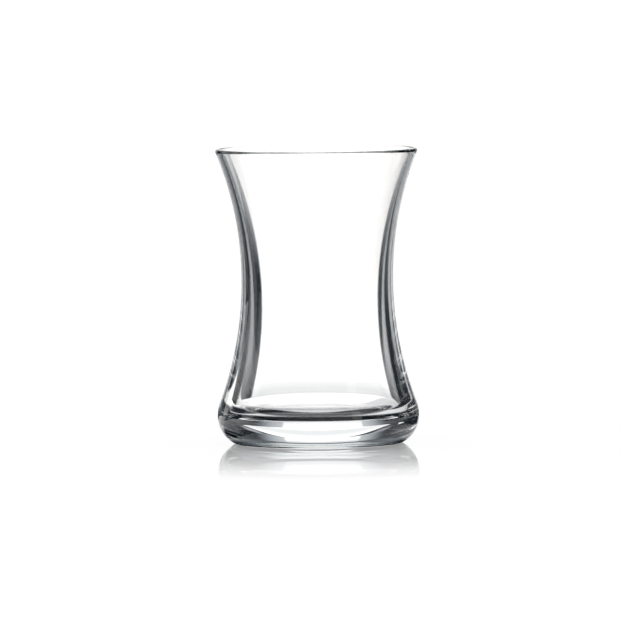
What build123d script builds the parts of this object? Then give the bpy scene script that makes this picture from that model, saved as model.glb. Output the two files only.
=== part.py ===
from build123d import *
from math import atan2, cos, hypot
import os

# Waisted tea glass: one piece of clear pressed glass, turned about Z.
# It stands on the XY plane with its axis on Z.  All sizes are in millimetres.

# Outside
height = 90.0
rim_diameter = 62.5  # outer edge of the mouth, before the lip is rounded
waist_diameter = 46.3
waist_height = 50.4
foot_diameter = 61.6  # widest part of the heavy foot
foot_widest_height = 8.5
shoulder_radius = 11.5  # rounding of the foot above its widest part
bearing_diameter = 50.9  # outer edge of the ring that the glass stands on

# Hollow for the tea
lip_wall = 1.6
lip_rounding = 0.7
waist_wall = 2.55
hollow_waist_drop = 4.4  # the hollow is narrowest this far below the waist
foot_wall = 4.36  # from the foot's widest part in to the hollow's floor
floor_edge_height = 7.6  # of the hollow's floor, where it would meet the wall
floor_rise = 1.4  # the floor is a low dome, this much higher in the middle
floor_corner_radius = 3.1

# Underside
bearing_ring_width = 2.5
ring_rounding = 0.65
push_up_height = 2.5


def shoulder_start(waist, foot_widest):
    """Point where the long waist curve runs smoothly into the foot's shoulder.

    The waist curve is the arc that is upright at the waist and touches the
    shoulder's circle, so its radius follows from those two.
    """
    inset = foot_widest[0] - shoulder_radius - waist[0]
    drop = waist[1] - foot_widest[1]
    spread = foot_widest[0] - waist[0]
    waist_curve = (inset**2 + drop**2 - shoulder_radius**2) / (2 * spread)
    share = waist_curve / hypot(waist_curve - inset, drop)
    across = waist_curve - (waist_curve - inset) * share
    return (waist[0] + across, waist[1] - drop * share)


# Points of the half section, as (radius, height)
rim = (rim_diameter / 2, height)
mouth = (rim_diameter / 2 - lip_wall, height)
waist = (waist_diameter / 2, waist_height)
foot_widest = (foot_diameter / 2, foot_widest_height)
shoulder = shoulder_start(waist, foot_widest)
ring_outside = (bearing_diameter / 2, 0)
ring_inside = (bearing_diameter / 2 - bearing_ring_width, 0)
underside_centre = (0, push_up_height)
hollow_waist = (waist_diameter / 2 - waist_wall, waist_height - hollow_waist_drop)
floor_corner = (foot_diameter / 2 - foot_wall, floor_edge_height)
floor_centre = (0, floor_edge_height + floor_rise)

# The lip's rounding stays under half of the wall, taken square to its flare
flare = 2 * atan2(rim[0] - waist[0], rim[1] - waist[1])
lip_radius = min(lip_rounding, 0.48 * lip_wall * cos(flare))

with BuildPart() as glass:
    with BuildSketch(Plane.XZ):
        with BuildLine():
            # Underside: a low push-up inside the flat bearing ring
            TangentArc(underside_centre, ring_inside, tangent=(1, 0))
            Line(ring_inside, ring_outside)
            # Foot: heel below its widest part, shoulder above
            TangentArc(foot_widest, ring_outside, tangent=(0, -1))
            TangentArc(foot_widest, shoulder, tangent=(0, 1))
            # Outside wall: up from the shoulder, through the waist, to the rim
            TangentArc(waist, shoulder, tangent=(0, -1))
            TangentArc(waist, rim, tangent=(0, 1))
            Line(rim, mouth)
            # Hollow: down from the mouth, through its waist, to its floor
            TangentArc(hollow_waist, mouth, tangent=(0, 1))
            TangentArc(hollow_waist, floor_corner, tangent=(0, -1))
            TangentArc(floor_centre, floor_corner, tangent=(1, 0))
            Line(floor_centre, underside_centre)
        make_face()
        fillet(vertices().sort_by_distance(rim)[0], radius=lip_radius)
        fillet(vertices().sort_by_distance(mouth)[0], radius=lip_radius)
        fillet(vertices().sort_by_distance(floor_corner)[0], radius=floor_corner_radius)
        fillet(vertices().sort_by_distance(ring_outside)[0], radius=ring_rounding)
        fillet(vertices().sort_by_distance(ring_inside)[0], radius=ring_rounding)
    revolve(axis=Axis.Z)

glass.part.label = "glass"

os.makedirs("parts", exist_ok=True)
export_step(glass.part, "parts/glass.step")
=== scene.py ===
from math import atan2, ceil, degrees, hypot, pi, radians, sqrt

import bpy
from mathutils import Euler, Matrix, Vector


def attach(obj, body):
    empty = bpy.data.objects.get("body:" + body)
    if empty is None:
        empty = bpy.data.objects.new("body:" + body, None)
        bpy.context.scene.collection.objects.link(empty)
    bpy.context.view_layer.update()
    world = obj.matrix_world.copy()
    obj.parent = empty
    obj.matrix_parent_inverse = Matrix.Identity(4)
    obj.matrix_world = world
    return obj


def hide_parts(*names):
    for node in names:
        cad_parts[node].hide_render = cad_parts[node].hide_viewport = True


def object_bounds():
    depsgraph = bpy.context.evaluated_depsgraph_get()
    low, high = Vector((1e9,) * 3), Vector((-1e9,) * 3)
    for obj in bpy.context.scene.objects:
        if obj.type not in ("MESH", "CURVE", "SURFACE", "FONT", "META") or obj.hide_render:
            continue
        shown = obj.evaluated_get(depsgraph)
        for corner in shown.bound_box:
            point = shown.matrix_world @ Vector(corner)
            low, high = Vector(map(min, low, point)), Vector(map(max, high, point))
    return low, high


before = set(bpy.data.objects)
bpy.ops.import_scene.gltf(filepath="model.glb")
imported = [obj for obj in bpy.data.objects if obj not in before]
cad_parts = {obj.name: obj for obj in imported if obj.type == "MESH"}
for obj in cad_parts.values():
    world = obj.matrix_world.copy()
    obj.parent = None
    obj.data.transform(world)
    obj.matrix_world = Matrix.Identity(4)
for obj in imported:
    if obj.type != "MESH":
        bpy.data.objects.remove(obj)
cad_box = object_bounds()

# A waisted tea glass of clear pressed glass on a polished white table.
# Its half section is drawn by arcs in millimetres and spun about the upright axis.
MM = 0.001

# Outside
height = (cad_box[1][2] - cad_box[0][2]) / MM
rim_diameter = 62.5
waist_diameter = 46.3
waist_height = 50.4
foot_diameter = 61.6
foot_widest_height = 8.5
shoulder_radius = 11.5
bearing_diameter = 50.9

# Hollow for the tea
lip_wall = 1.6
lip_rounding = 0.7
waist_wall = 2.55
hollow_waist_drop = 4.4
foot_wall = 4.36  # from the foot's widest part in to the hollow's floor
floor_edge_height = 7.6  # of the hollow's floor, where it would meet the wall
floor_rise = 1.4  # the floor is a low dome, this much higher in the middle
floor_corner_radius = 3.1

# Underside
bearing_ring_width = 2.5
ring_rounding = 0.65
push_up_height = 2.5

# Fineness of the spun mesh
longest_step = 1.1  # millimetres along an arc
widest_turn = radians(5)  # of an arc from one step to the next
turns_round_axis = 288
merge_distance = 0.002 * MM

# Camera
camera_distance = 3.0
camera_elevation = radians(3.187)
camera_roll = radians(-0.5)
picture_width = 0.18935  # of the scene, at the glass
glass_right_of_centre = 0.00228
glass_above_centre = 0.00438
sensor_width = 36.0
nearest_drawn = 0.01
farthest_drawn = 50


# ---------------------------------------------------------------- the glass


def round_from(widest, other):
    """Centre of the arc that is upright at its first point and passes through the other."""
    across = other[0] - widest[0]
    up = other[1] - widest[1]
    return (widest[0] + (across**2 + up**2) / (2 * across), widest[1])


def towards(centre, point, radius):
    """The point at that distance from the centre, on the way to another point."""
    away = radius / hypot(point[0] - centre[0], point[1] - centre[1])
    return (centre[0] + (point[0] - centre[0]) * away, centre[1] + (point[1] - centre[1]) * away)


def distance(a, b):
    return hypot(a[0] - b[0], a[1] - b[1])


def at_height(centre, reach, level, side):
    """The point at that height and that distance from the centre, outward (1) or inward (-1) of it."""
    return (centre[0] + side * sqrt(reach**2 - (level - centre[1]) ** 2), level)


def crossing(first, first_reach, second, second_reach):
    """The point at those distances from the two centres, left of the way from the second to the first."""
    apart = distance(first, second)
    along = (second_reach**2 - first_reach**2 + apart**2) / (2 * apart)
    aside = sqrt(second_reach**2 - along**2)
    east = (first[0] - second[0]) / apart
    north = (first[1] - second[1]) / apart
    return (second[0] + along * east - aside * north, second[1] + along * north + aside * east)


def outside_strokes():
    """Strokes (arc centre or None, end point) from the ring that the glass stands on up to the lip."""
    rim = (rim_diameter / 2, height)
    waist = (waist_diameter / 2, waist_height)
    foot = (foot_diameter / 2, foot_widest_height)
    heel = round_from(foot, (bearing_diameter / 2, 0))
    heel_radius = foot[0] - heel[0]
    heel_rounding = at_height(heel, heel_radius - ring_rounding, ring_rounding, 1)
    shoulder = (foot[0] - shoulder_radius, foot[1])
    inset = shoulder[0] - waist[0]
    drop = waist[1] - foot[1]
    lower_radius = (inset**2 + drop**2 - shoulder_radius**2) / (2 * (foot[0] - waist[0]))
    lower = (waist[0] + lower_radius, waist[1])
    upper = round_from(waist, rim)
    upper_radius = upper[0] - waist[0]
    lip_outside = at_height(upper, upper_radius + lip_rounding, height - lip_rounding, -1)
    return [
        (None, (heel_rounding[0], 0)),
        (heel_rounding, towards(heel, heel_rounding, heel_radius)),
        (heel, foot),
        (shoulder, towards(lower, shoulder, lower_radius)),
        (lower, waist),
        (upper, towards(upper, lip_outside, upper_radius)),
        (lip_outside, (lip_outside[0], height)),
    ]


def hollow_strokes():
    """Strokes from the lip down the hollow to the middle of its floor."""
    mouth = (rim_diameter / 2 - lip_wall, height)
    waist = (waist_diameter / 2 - waist_wall, waist_height - hollow_waist_drop)
    floor_edge = (foot_diameter / 2 - foot_wall, floor_edge_height)
    floor_middle = (0, floor_edge_height + floor_rise)
    upper = round_from(waist, mouth)
    upper_radius = upper[0] - waist[0]
    lip_inside = at_height(upper, upper_radius - lip_rounding, height - lip_rounding, -1)
    lower = round_from(waist, floor_edge)
    lower_radius = lower[0] - waist[0]
    dome_radius = (floor_edge[0] ** 2 + floor_rise**2) / (2 * floor_rise)
    dome = (0, floor_middle[1] - dome_radius)
    corner = crossing(lower, lower_radius + floor_corner_radius, dome, dome_radius + floor_corner_radius)
    return [
        (None, (lip_inside[0], height)),
        (lip_inside, towards(upper, lip_inside, upper_radius)),
        (upper, waist),
        (lower, towards(lower, corner, lower_radius)),
        (corner, towards(dome, corner, dome_radius)),
        (dome, floor_middle),
    ]


def underside_strokes():
    """Strokes from the middle of the pushed-up underside to the ring."""
    ring_inside = bearing_diameter / 2 - bearing_ring_width
    push_radius = (ring_inside**2 + push_up_height**2) / (2 * push_up_height)
    push = (0, push_up_height - push_radius)
    rounding = at_height(push, push_radius + ring_rounding, ring_rounding, 1)
    return [
        (push, towards(push, rounding, push_radius)),
        (rounding, (rounding[0], 0)),
    ]


def steps_between(start, centre, end):
    """How many steps a stroke takes, and the angle that an arc turns through."""
    if centre is None:
        return max(1, ceil(distance(start, end) / longest_step)), 0
    first = atan2(start[1] - centre[1], start[0] - centre[0])
    last = atan2(end[1] - centre[1], end[0] - centre[0])
    turn = (last - first + pi) % (2 * pi) - pi
    length = abs(turn) * distance(start, centre)
    return ceil(max(length / longest_step, abs(turn) / widest_turn, 1)), turn


def draw(start, strokes):
    """Draws the outline in edit mode, in the plane of X and Z, and leaves its last point selected."""
    for centre, end in strokes:
        steps, turn = steps_between(start, centre, end)
        if centre is None:
            step = ((end[0] - start[0]) / steps * MM, 0, (end[1] - start[1]) / steps * MM)
            for _ in range(steps):
                bpy.ops.mesh.extrude_region_move(TRANSFORM_OT_translate={"value": step})
        else:
            middle = (centre[0] * MM, 0, centre[1] * MM)
            bpy.ops.mesh.spin(steps=steps, angle=turn, center=middle, axis=(0, 1, 0), use_auto_merge=False)
        start = end


def blow_glass():
    """The whole glass: its half section, spun once round the axis."""
    bpy.ops.object.select_all(action="DESELECT")
    start = (0, push_up_height)
    bpy.ops.mesh.primitive_plane_add(size=MM, location=(0, 0, push_up_height * MM))
    piece = bpy.context.object
    piece.name = "tea_glass"
    bpy.ops.object.mode_set(mode="EDIT")
    bpy.ops.mesh.select_all(action="SELECT")
    bpy.ops.mesh.merge(type="CENTER")
    draw(start, underside_strokes() + outside_strokes() + hollow_strokes())
    bpy.ops.mesh.select_all(action="SELECT")
    bpy.ops.mesh.spin(steps=turns_round_axis, angle=2 * pi, center=(0, 0, 0), axis=(0, 0, 1))
    bpy.ops.mesh.select_all(action="SELECT")
    bpy.ops.mesh.remove_doubles(threshold=merge_distance)
    bpy.ops.mesh.normals_make_consistent(inside=False)
    bpy.ops.object.mode_set(mode="OBJECT")
    bpy.ops.object.transform_apply(location=True, rotation=True, scale=True)
    bpy.ops.object.shade_smooth()
    return piece


# ---------------------------------------------------------------- node helpers

white = (1, 1, 1, 1)


def math(tree, operation, *values):
    """A Math node's output, from numbers or other outputs."""
    node = tree.nodes.new("ShaderNodeMath")
    node.operation = operation
    for socket, value in zip(node.inputs, values):
        if isinstance(value, (int, float)):
            socket.default_value = value
        else:
            tree.links.new(value, socket)
    return node.outputs[0]


def ramp(tree, value, low, high, start=0.0, end=1.0):
    """A smooth change from start to end as the value goes from low to high."""
    node = tree.nodes.new("ShaderNodeMapRange")
    node.interpolation_type = "SMOOTHSTEP"
    tree.links.new(value, node.inputs["Value"])
    node.inputs["From Min"].default_value = low
    node.inputs["From Max"].default_value = high
    node.inputs["To Min"].default_value = start
    node.inputs["To Max"].default_value = end
    return node.outputs["Result"]


def blend(tree, share, first, second):
    """A plain mix of two values."""
    node = tree.nodes.new("ShaderNodeMix")
    for socket, value in ((node.inputs[0], share), (node.inputs[2], first), (node.inputs[3], second)):
        if isinstance(value, (int, float)):
            socket.default_value = value
        else:
            tree.links.new(value, socket)
    return node.outputs[0]


def bearings(tree, vector):
    """The azimuth of a direction from +Y towards +X, in degrees, with its three components."""
    parts = tree.nodes.new("ShaderNodeSeparateXYZ")
    tree.links.new(vector, parts.inputs[0])
    x, y, z = parts.outputs
    return math(tree, "MULTIPLY", math(tree, "ARCTAN2", x, y), degrees(1)), x, y, z


# ---------------------------------------------------------------- the studio

# Angles are in degrees, with azimuths from +Y towards +X, and lengths on the table in metres.
# A level is a brightness, with white as 1. A span, or heights, is a low side, a high side and the softness
# of both. A fade, top, start or end is where a smooth change begins and ends, and the levels there, which
# are 0 and 1 if not given.
half_turn = 180.0
glass_loss = 1.28  # light that the glass's four faces turn back, made up for in what it shows
tint_powers = (1.06, 1.0, 0.94)  # of the grey, for red, green and blue

# The screen behind the glass, and the soft spill of light beside it
screen_span = (-18.5, 15, 1.5)
screen_dimming = (2, 7, 1.0, 0.62)
screen_top = (9, 13, 1.0, 0.06)
spill_span = (-25, 23, 9)
spill_level = 0.46
spill_top = (8, 14, 1.0, 0.05)

# The lights above the screen, the room on the camera's side and the ceiling
upper_span = (-17, 10, 5)
upper_heights = (30, 44, 4)
upper_level = 0.70
tube_span = (-14, 12, 3)
tube_heights = (25, 29, 1)
room_fade = (0.1, -0.5)  # in the direction's Y
room_level = 0.10
ceiling_fade = (46, 56, 0.0, 0.75)
dark_level = 0.012

# The low screen to one side, and the narrow ones that are seen only mirrored, in the glass or the table
side_span = (-99, -81, 2)
side_top = (6, 10, 1.0, 0.0)
mirrored_screens = (0, -45, -90, 135)  # their azimuths
mirrored_span = (-6, 6, 1)
mirrored_top = (33, 37, 1.0, 0.0)

# Painted light: the bright patch that the glass gathers behind it, and painted shade: the dimmer ring past
# that patch
patch_span = (-33, 30, 3)
patch_end = (0.074, 0.079, 1.0, 0.0)
ring_end = (0.100, 0.145, 0.72, 1.0)

# Painted light: a bright wedge of table towards the screen, with its sides' offsets at the glass and their
# slopes
left_offset = 0.029
left_slope = 0.135
left_softness = 0.014  # in radians, like the right one
right_offset = 0.036
right_slope = 0.19
right_softness = 0.02

# Dimmer painted light on the table on both sides of the wedge and far away, and painted shade everywhere
# else
left_span = (-31, -21.5, 2)
left_level = 0.22
right_span = (23.5, 35, 2)
right_level = 0.32
beside_start = (0.13, 0.25)
distant_span = (-27, 25, 5)
distant_fade = (0.42, 0.7, 0.0, 0.42)
painted_shade_level = 0.018

# Strips of painted light on the table in other directions, which keep the glass clear as seen from the
# opposite side:
# azimuth, half-width at the glass, widening, start and end
painted_strip_list = (
    (-45, 0.018, 0.08, 0.030, 0.27),
    (135, 0.033, 0.03, 0.045, 0.42),
    (-90, 0.033, 0.03, 0.045, 9.0),
)
strip_side_softness = 0.002
strip_end_softness = 0.008

# Under the glass the table has painted light behind a curved edge and painted shade in front of it
under_curve = 55.0  # metres that the edge curves back, per square metre of distance to the side
under_fade = (-0.0085, -0.006, 0.002, 0.78)
under_end = (0.0265, 0.029)

# The table's surface
table_glow = 0.80  # the share of its brightness that it gives off by itself, which also carries the painted light and shade that rays from the glass see
table_shade = 0.22  # and the share that it scatters, which takes the shadow
table_ior = 1.49
polish_fade = (0.03, 0.17, 1.0, 0.0)  # it mirrors only round the glass
table_size = 12
table_drop = 0.02 * MM  # below the glass


def between(tree, value, low, high, edge):
    """1 between low and high and 0 outside them, with soft edges."""
    above = ramp(tree, value, low - edge, low + edge)
    below = ramp(tree, value, high - edge, high + edge, 1.0, 0.0)
    return math(tree, "MULTIPLY", above, below)


def largest(tree, *values):
    """The largest of several values."""
    found = values[0]
    for value in values[1:]:
        found = math(tree, "MAXIMUM", found, value)
    return found


def cool_grey(tree, value):
    """Greys turned towards slate blue; white and black stay as they are."""
    group = bpy.data.node_groups.get("cool grey")
    if group is None:
        group = bpy.data.node_groups.new("cool grey", "ShaderNodeTree")
        group.interface.new_socket("Value", in_out="INPUT", socket_type="NodeSocketFloat")
        group.interface.new_socket("Color", in_out="OUTPUT", socket_type="NodeSocketColor")
        entry = group.nodes.new("NodeGroupInput").outputs[0]
        colour = group.nodes.new("ShaderNodeCombineColor")
        for socket, power in zip(colour.inputs, tint_powers):
            group.links.new(math(group, "POWER", entry, power), socket)
        group.links.new(colour.outputs[0], group.nodes.new("NodeGroupOutput").inputs[0])
    node = tree.nodes.new("ShaderNodeGroup")
    node.node_tree = group
    tree.links.new(value, node.inputs[0])
    return node.outputs[0]


def studio_world():
    """Plain white, but the glass sees a white screen behind it, dark sides and a grey ceiling."""
    world = bpy.data.worlds.new("soft studio")
    bpy.context.scene.world = world
    world.use_nodes = True
    tree = world.node_tree
    background = tree.nodes["Background"]
    direction = tree.nodes.new("ShaderNodeTexCoord").outputs["Generated"]
    azimuth, _, y, z = bearings(tree, direction)
    elevation = math(tree, "MULTIPLY", math(tree, "ARCSINE", z), degrees(1))
    screen = between(tree, azimuth, *screen_span)
    screen = math(tree, "MULTIPLY", screen, ramp(tree, elevation, *screen_dimming))
    screen = math(tree, "MULTIPLY", screen, ramp(tree, elevation, *screen_top))
    spill = math(tree, "MULTIPLY", between(tree, azimuth, *spill_span), spill_level)
    spill = math(tree, "MULTIPLY", spill, ramp(tree, elevation, *spill_top))
    upper_across = between(tree, azimuth, *upper_span)
    upper = math(tree, "MULTIPLY", upper_across, between(tree, elevation, *upper_heights))
    upper = math(tree, "MULTIPLY", upper, upper_level)
    room = math(tree, "MULTIPLY", ramp(tree, y, *room_fade), room_level)
    ceiling = ramp(tree, elevation, *ceiling_fade)
    tube_across = between(tree, azimuth, *tube_span)
    tube = math(tree, "MULTIPLY", tube_across, between(tree, elevation, *tube_heights))
    seen = largest(tree, screen, spill, upper, tube, room, ceiling, dark_level)
    side = math(tree, "MULTIPLY", between(tree, azimuth, *side_span), ramp(tree, elevation, *side_top))
    seen = largest(tree, seen, side)
    path = tree.nodes.new("ShaderNodeLightPath").outputs
    through = math(tree, "MULTIPLY", seen, glass_loss)
    polished = seen
    for bearing in mirrored_screens:
        polished = largest(tree, polished, mirrored_screen(tree, azimuth, elevation, bearing))
    mirrored = blend(tree, path["Is Glossy Ray"], 1.0, polished)
    glow = blend(tree, path["Is Transmission Ray"], mirrored, through)
    tree.links.new(cool_grey(tree, glow), background.inputs["Color"])


def mirrored_screen(tree, azimuth, elevation, bearing):
    """A narrow tall white screen at that azimuth."""
    off = math(tree, "WRAP", math(tree, "SUBTRACT", azimuth, bearing), half_turn, -half_turn)
    return math(tree, "MULTIPLY", between(tree, off, *mirrored_span), ramp(tree, elevation, *mirrored_top))


def painted_light_strip(tree, place, bearing, half_width, widening, start, end):
    """A strip of painted light on the table that runs from near the glass's foot outwards at that azimuth.
    """
    turned = tree.nodes.new("ShaderNodeVectorRotate")
    turned.rotation_type = "Z_AXIS"
    turned.inputs["Angle"].default_value = radians(bearing)
    tree.links.new(place, turned.inputs["Vector"])
    parts = tree.nodes.new("ShaderNodeSeparateXYZ")
    tree.links.new(turned.outputs[0], parts.inputs[0])
    across, along, _ = parts.outputs
    edge = math(tree, "ADD", half_width, math(tree, "MULTIPLY", along, widening))
    within = math(tree, "SUBTRACT", edge, math(tree, "ABSOLUTE", across))
    inside = ramp(tree, within, -strip_side_softness, strip_side_softness)
    return math(tree, "MULTIPLY", inside, between(tree, along, start, end, strip_end_softness))


def painted_light_seen_by_glass(tree, place):
    """Painted light and shade on the table, which only rays that come out of the glass or off it see."""
    azimuth, x, y, _ = bearings(tree, place)
    away = math(tree, "SQRT", math(tree, "ADD", math(tree, "MULTIPLY", x, x), math(tree, "MULTIPLY", y, y)))
    near = math(tree, "MULTIPLY", between(tree, azimuth, *patch_span), ramp(tree, away, *patch_end))
    # how far inside each side of the wedge a point lies, as an angle in radians seen from the glass
    left_edge = math(tree, "ADD", math(tree, "MULTIPLY", y, left_slope), left_offset)
    right_edge = math(tree, "ADD", math(tree, "MULTIPLY", y, right_slope), right_offset)
    from_left = math(tree, "DIVIDE", math(tree, "ADD", left_edge, x), away)
    from_right = math(tree, "DIVIDE", math(tree, "SUBTRACT", right_edge, x), away)
    past_left = ramp(tree, from_left, -left_softness, left_softness)
    past_right = ramp(tree, from_right, -right_softness, right_softness)
    far = math(tree, "MULTIPLY", past_left, past_right)
    left = math(tree, "MULTIPLY", between(tree, azimuth, *left_span), left_level)
    right = math(tree, "MULTIPLY", between(tree, azimuth, *right_span), right_level)
    beside = math(tree, "MULTIPLY", largest(tree, left, right), ramp(tree, away, *beside_start))
    distant = math(tree, "MULTIPLY", between(tree, azimuth, *distant_span), ramp(tree, away, *distant_fade))
    far = largest(tree, far, beside, distant)
    far = math(tree, "MULTIPLY", far, ramp(tree, away, *ring_end))
    # all the painted light, with painted shade wherever none of it falls
    bright = largest(tree, near, far, painted_shade_level)
    for strip in painted_strip_list:
        bright = largest(tree, bright, painted_light_strip(tree, place, *strip))
    # painted shade under the front of the glass, painted light under its back
    curve = math(tree, "MULTIPLY", math(tree, "MULTIPLY", x, x), under_curve)
    under = ramp(tree, math(tree, "SUBTRACT", y, curve), *under_fade)
    bright = blend(tree, ramp(tree, away, *under_end), under, bright)
    return bright, away


def table_material():
    """White and polished round the glass, with a faint shadow; to rays from the glass it shows painted
    light and shade.
    """
    material = bpy.data.materials.new("polished white table")
    material.use_nodes = True
    tree = material.node_tree
    tree.nodes.clear()
    output = tree.nodes.new("ShaderNodeOutputMaterial")
    place = tree.nodes.new("ShaderNodeTexCoord").outputs["Object"]
    painted_light_for_glass, away = painted_light_seen_by_glass(tree, place)
    path = tree.nodes.new("ShaderNodeLightPath").outputs
    # rays from the glass see the painted light and shade, the camera sees plain white
    through = math(tree, "MULTIPLY", painted_light_for_glass, glass_loss)
    mirrored = blend(tree, path["Is Glossy Ray"], 1.0, painted_light_for_glass)
    glow = blend(tree, path["Is Transmission Ray"], mirrored, through)
    emission = tree.nodes.new("ShaderNodeEmission")
    tree.links.new(cool_grey(tree, glow), emission.inputs["Color"])
    emission.inputs["Strength"].default_value = table_glow
    diffuse = tree.nodes.new("ShaderNodeBsdfDiffuse")
    shade = math(tree, "MULTIPLY", glow, table_shade)
    colour = tree.nodes.new("ShaderNodeCombineColor")
    for socket in colour.inputs:
        tree.links.new(shade, socket)
    tree.links.new(colour.outputs[0], diffuse.inputs["Color"])
    body = tree.nodes.new("ShaderNodeAddShader")
    tree.links.new(emission.outputs[0], body.inputs[0])
    tree.links.new(diffuse.outputs[0], body.inputs[1])
    gloss = tree.nodes.new("ShaderNodeBsdfGlossy")
    gloss.inputs["Color"].default_value = white
    gloss.inputs["Roughness"].default_value = 0.0
    fresnel = tree.nodes.new("ShaderNodeFresnel")
    fresnel.inputs["IOR"].default_value = table_ior
    share = math(tree, "MULTIPLY", fresnel.outputs[0], ramp(tree, away, *polish_fade))
    share = math(tree, "MULTIPLY", share, path["Is Camera Ray"])
    mix = tree.nodes.new("ShaderNodeMixShader")
    tree.links.new(share, mix.inputs[0])
    tree.links.new(body.outputs[0], mix.inputs[1])
    tree.links.new(gloss.outputs[0], mix.inputs[2])
    tree.links.new(mix.outputs[0], output.inputs["Surface"])
    return material


def table():
    """A wide plane just under the glass."""
    bpy.ops.object.select_all(action="DESELECT")
    bpy.ops.mesh.primitive_plane_add(size=table_size, location=(0, 0, 0))
    floor = bpy.context.object
    floor.name = "table"
    for corner in floor.data.vertices:
        corner.co.z = -table_drop
    floor.data.materials.append(table_material())
    return floor


# ---------------------------------------------------------------- the glass's material

glass_ior = 1.52
absorption_colour = (0.80, 0.95, 0.97, 1)  # that thick glass turns light towards
absorption_density = 2.0  # per metre


def glass_material():
    """Plain clear glass with a faint absorption."""
    material = bpy.data.materials.new("clear pressed glass")
    material.use_nodes = True
    tree = material.node_tree
    shader = tree.nodes["Principled BSDF"]
    shader.inputs["Base Color"].default_value = white
    shader.inputs["Roughness"].default_value = 0.0
    shader.inputs["IOR"].default_value = glass_ior
    shader.inputs["Transmission Weight"].default_value = 1.0
    absorption = tree.nodes.new("ShaderNodeVolumeAbsorption")
    absorption.inputs["Color"].default_value = absorption_colour
    absorption.inputs["Density"].default_value = absorption_density
    tree.links.new(absorption.outputs[0], tree.nodes["Material Output"].inputs["Volume"])
    return material


# ---------------------------------------------------------------- camera


def aim_camera():
    """A long lens, a little above the glass."""
    camera = bpy.data.objects.new("camera", bpy.data.cameras.new("camera"))
    bpy.context.scene.collection.objects.link(camera)
    camera.data.sensor_width = sensor_width
    camera.data.lens = sensor_width * camera_distance / picture_width
    camera.data.clip_start = nearest_drawn
    camera.data.clip_end = farthest_drawn
    turn = Euler((pi / 2 - camera_elevation, 0, 0)).to_matrix() @ Matrix.Rotation(camera_roll, 3, "Z")
    middle = Vector((0, 0, height * MM / 2))
    offset = turn @ Vector((-glass_right_of_centre, -glass_above_centre, camera_distance))
    camera.matrix_world = Matrix.Translation(middle + offset) @ turn.to_4x4()
    bpy.context.scene.camera = camera


# ---------------------------------------------------------------- build

glass_bounces = 32  # light is often turned back many times inside the wall

glass = blow_glass()
glass.data.materials.append(glass_material())
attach(glass, "root")
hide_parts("glass")

table()
studio_world()
aim_camera()

scene = bpy.context.scene
scene.view_settings.view_transform = "Standard"
scene.cycles.max_bounces = glass_bounces
scene.cycles.transmission_bounces = glass_bounces
scene.cycles.glossy_bounces = glass_bounces
scene.cycles.diffuse_bounces = 4
